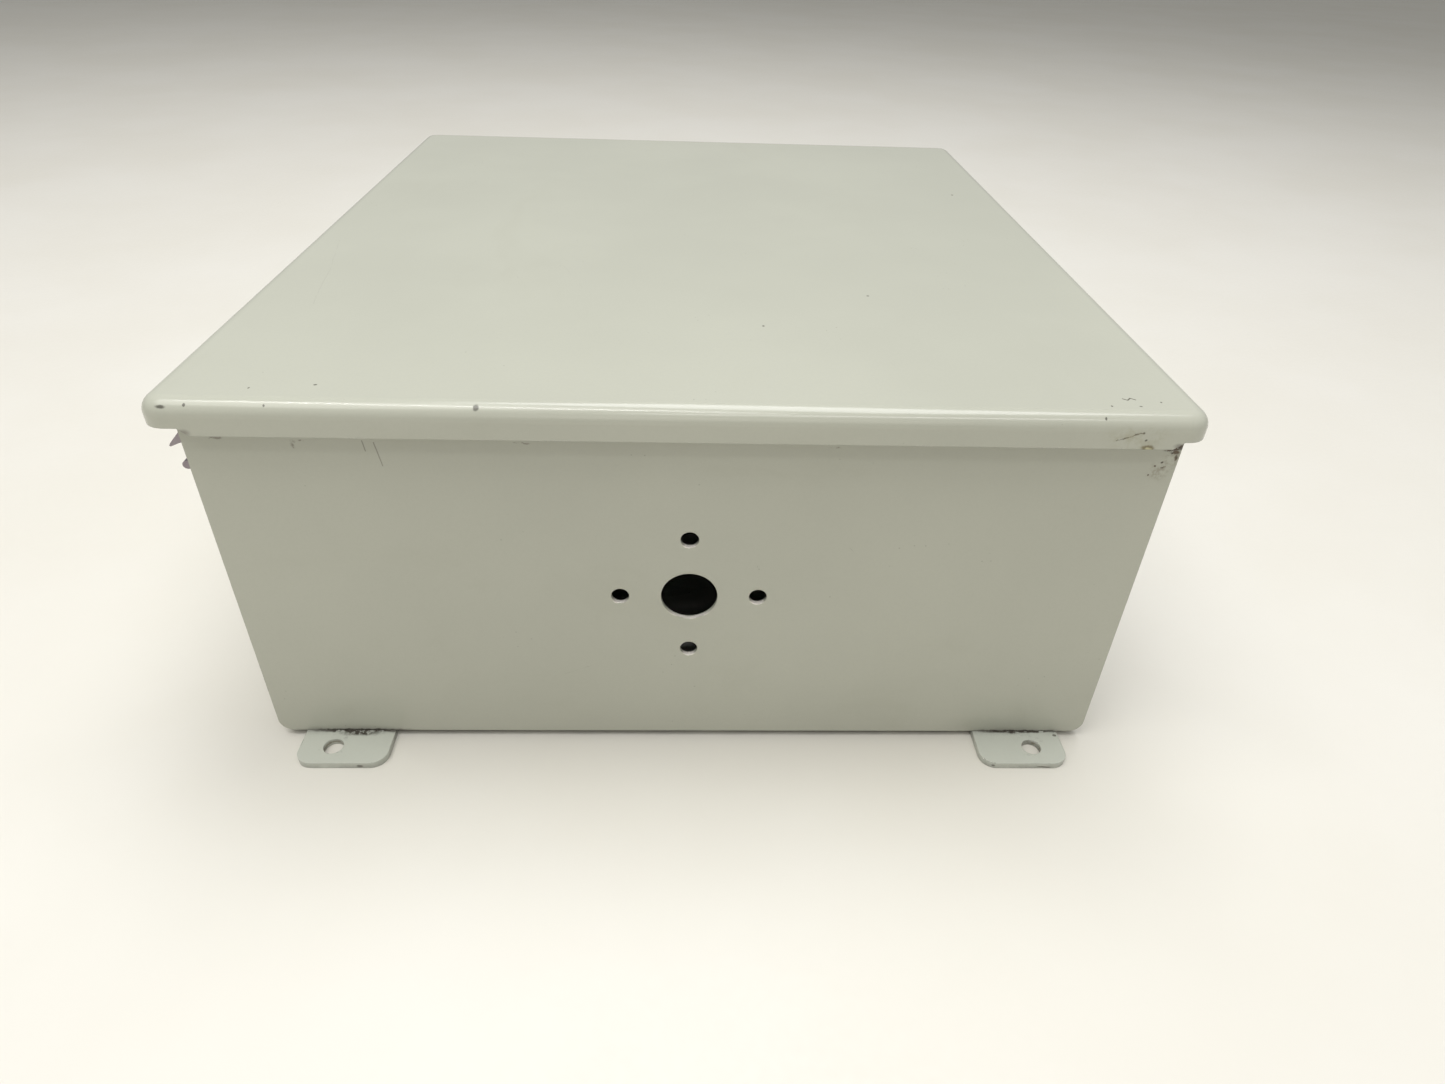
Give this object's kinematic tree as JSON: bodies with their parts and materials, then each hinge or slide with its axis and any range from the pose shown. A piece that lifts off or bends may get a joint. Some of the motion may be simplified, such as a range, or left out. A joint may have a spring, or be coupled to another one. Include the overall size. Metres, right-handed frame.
{
  "type": "electrical junction box",
  "caption": "Wall-mount sheet-steel junction box with a hinged, gasketed lid, edge clamps, mounting feet and a drilled end wall.",
  "frame": {"origin": "centre of the foot-hole pattern, on the plane the feet rest on", "axes": "+Z out of the box through the lid, +X towards the hinged side, -Y towards the drilled end wall"},
  "size_m": [0.3859, 0.4444, 0.165],
  "materials": {
    "paint_grey": "grey powder coat, satin gloss",
    "paint_feet": "grey powder coat, satin gloss",
    "gasket_rubber": "closed-cell foam",
    "panel_white": "white enamel",
    "hinge_steel": "satin steel",
    "clamp_steel": "dull zinc plate",
    "zinc": "zinc plate",
    "ground_green": "green zinc plate"
  },
  "bodies": {
    "box": {"body_wrap": "paint_grey", "front_end_wall": "paint_grey", "rear_end_wall": "paint_grey", "foot_front_left": "paint_feet", "foot_front_right": "paint_feet", "foot_rear_left": "paint_feet", "foot_rear_right": "paint_feet", "hinge_body_leaf": "hinge_steel", "hinge_pin": "hinge_steel", "clamp_bracket_front": "clamp_steel", "clamp_bracket_rear": "clamp_steel", "clamp_pivot_front": "clamp_steel", "clamp_pivot_rear": "clamp_steel", "collar_studs": "zinc", "back_panel": "panel_white", "panel_nuts": "zinc", "ground_stud": "zinc", "ground_nut": "ground_green"},
    "lid": {"lid_shell": "paint_grey", "lid_gasket": "gasket_rubber", "hinge_lid_leaf": "hinge_steel", "lid_bond_stud": "zinc", "lid_bond_nut": "zinc"},
    "claw_front": {"clamp_claw_front": "clamp_steel"},
    "claw_rear": {"clamp_claw_rear": "clamp_steel"},
    "screw_front": {"clamp_screw_front": "clamp_steel"},
    "screw_rear": {"clamp_screw_rear": "clamp_steel"}
  },
  "joints": [
    {"name": "lid_hinge", "type": "hinge", "parent": "box", "child": "lid", "pos_m": [0.182, 0, 0.1473], "axis": [0, 1, 0], "range_deg": [0, 180]},
    {"name": "claw_front_swing", "type": "hinge", "parent": "box", "child": "claw_front", "pos_m": [-0.1902, -0.161, 0.1462], "axis": [0, 1, 0], "range_deg": [0, 193]},
    {"name": "claw_rear_swing", "type": "hinge", "parent": "box", "child": "claw_rear", "pos_m": [-0.1902, 0.161, 0.1462], "axis": [0, 1, 0], "range_deg": [0, 193]},
    {"name": "screw_front_feed", "type": "slide", "parent": "claw_front", "child": "screw_front", "axis": [-0.225, 0, 0.9744], "range_m": [0, 0.0049]},
    {"name": "screw_rear_feed", "type": "slide", "parent": "claw_rear", "child": "screw_rear", "axis": [-0.225, 0, 0.9744], "range_m": [0, 0.0049]}
  ]
}
